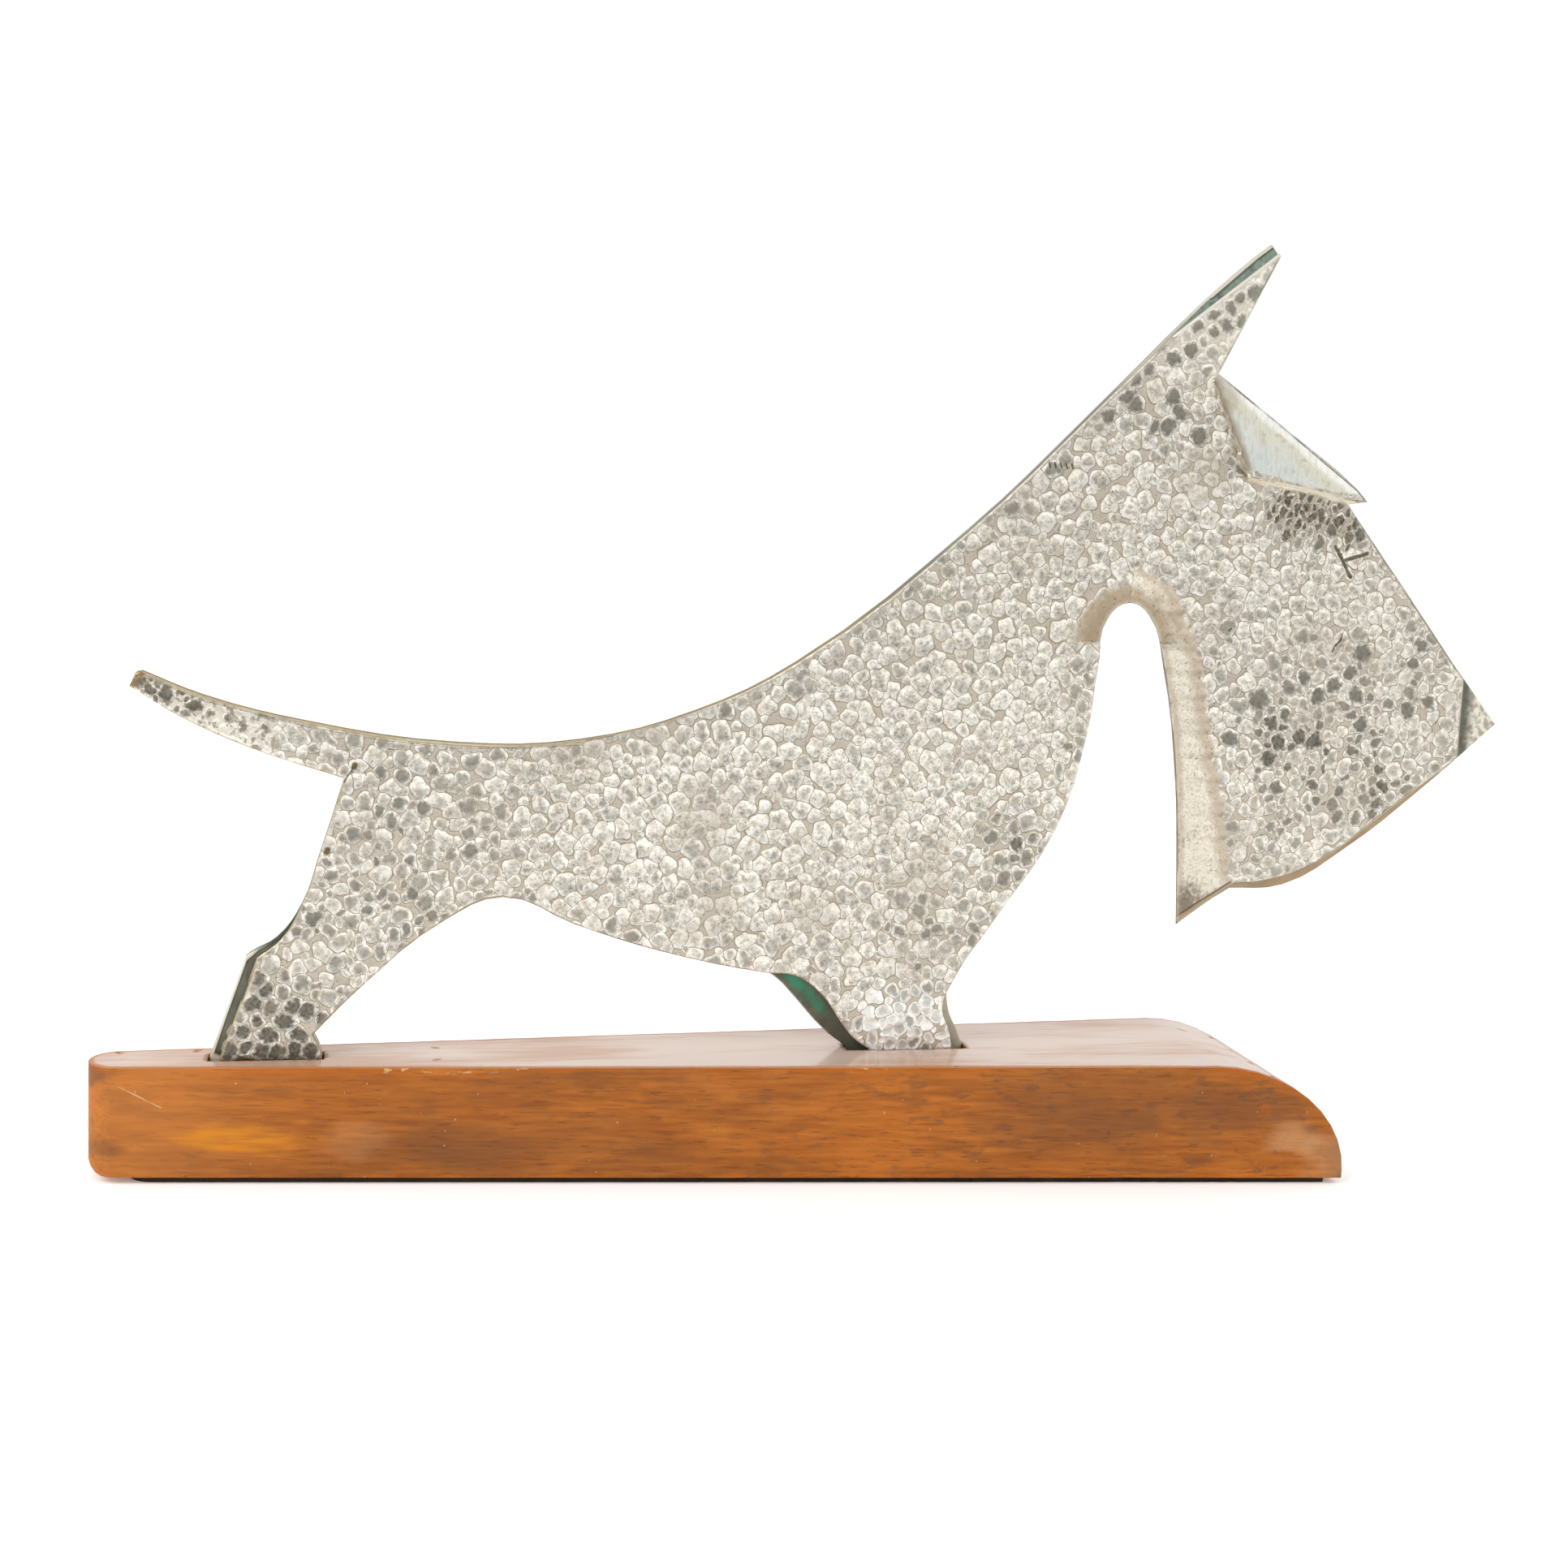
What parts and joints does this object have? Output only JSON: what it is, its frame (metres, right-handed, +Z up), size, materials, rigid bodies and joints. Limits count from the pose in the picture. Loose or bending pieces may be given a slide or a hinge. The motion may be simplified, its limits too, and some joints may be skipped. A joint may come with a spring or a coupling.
{
  "type": "hammered metal terrier sculpture on a wooden base",
  "caption": "Stylised terrier of two hammered, silvered metal sheets standing on a tapered varnished wooden base with a felt pad.",
  "frame": {"origin": "middle of the base's length and width, on the underside of the felt pad", "axes": "+X from the tail towards the dog's nose, +Y towards the dog's left side, +Z up"},
  "size_m": [0.3464, 0.052, 0.2293],
  "materials": {
    "silvered_metal": "hammered, silver plated, tarnished in the hammer marks",
    "varnished_wood": "worn glossy varnish",
    "dark_felt": "matt felt"
  },
  "bodies": {
    "root": {"dog_right_side": "silvered_metal", "dog_left_side": "silvered_metal", "wooden_base": "varnished_wood", "felt_pad": "dark_felt"}
  },
  "joints": []
}
